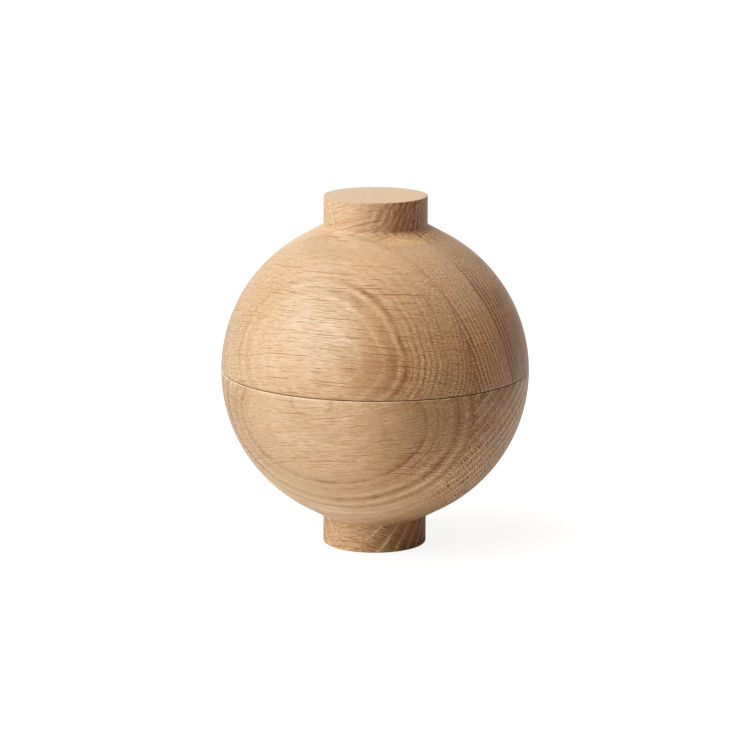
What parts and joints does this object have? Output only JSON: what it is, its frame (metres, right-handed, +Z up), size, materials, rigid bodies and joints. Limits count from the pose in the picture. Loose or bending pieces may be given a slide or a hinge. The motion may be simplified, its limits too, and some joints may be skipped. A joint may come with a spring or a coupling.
{
  "type": "lidded wooden ball box",
  "caption": "Ball-shaped box turned from solid oak, split at its middle into a bowl on a round foot and a lift-off lid with a round flat knob.",
  "frame": {"origin": "centre of the foot's flat underside", "axes": "+Z up along the turning axis, from the foot to the knob; the ball is seen from -Y with +X to the right"},
  "size_m": [0.14, 0.14, 0.1605],
  "materials": {
    "bowl_oak": "satin oiled oak",
    "lid_oak": "satin oiled oak"
  },
  "bodies": {
    "root": {"bowl": "bowl_oak", "lid": "lid_oak"}
  },
  "joints": []
}
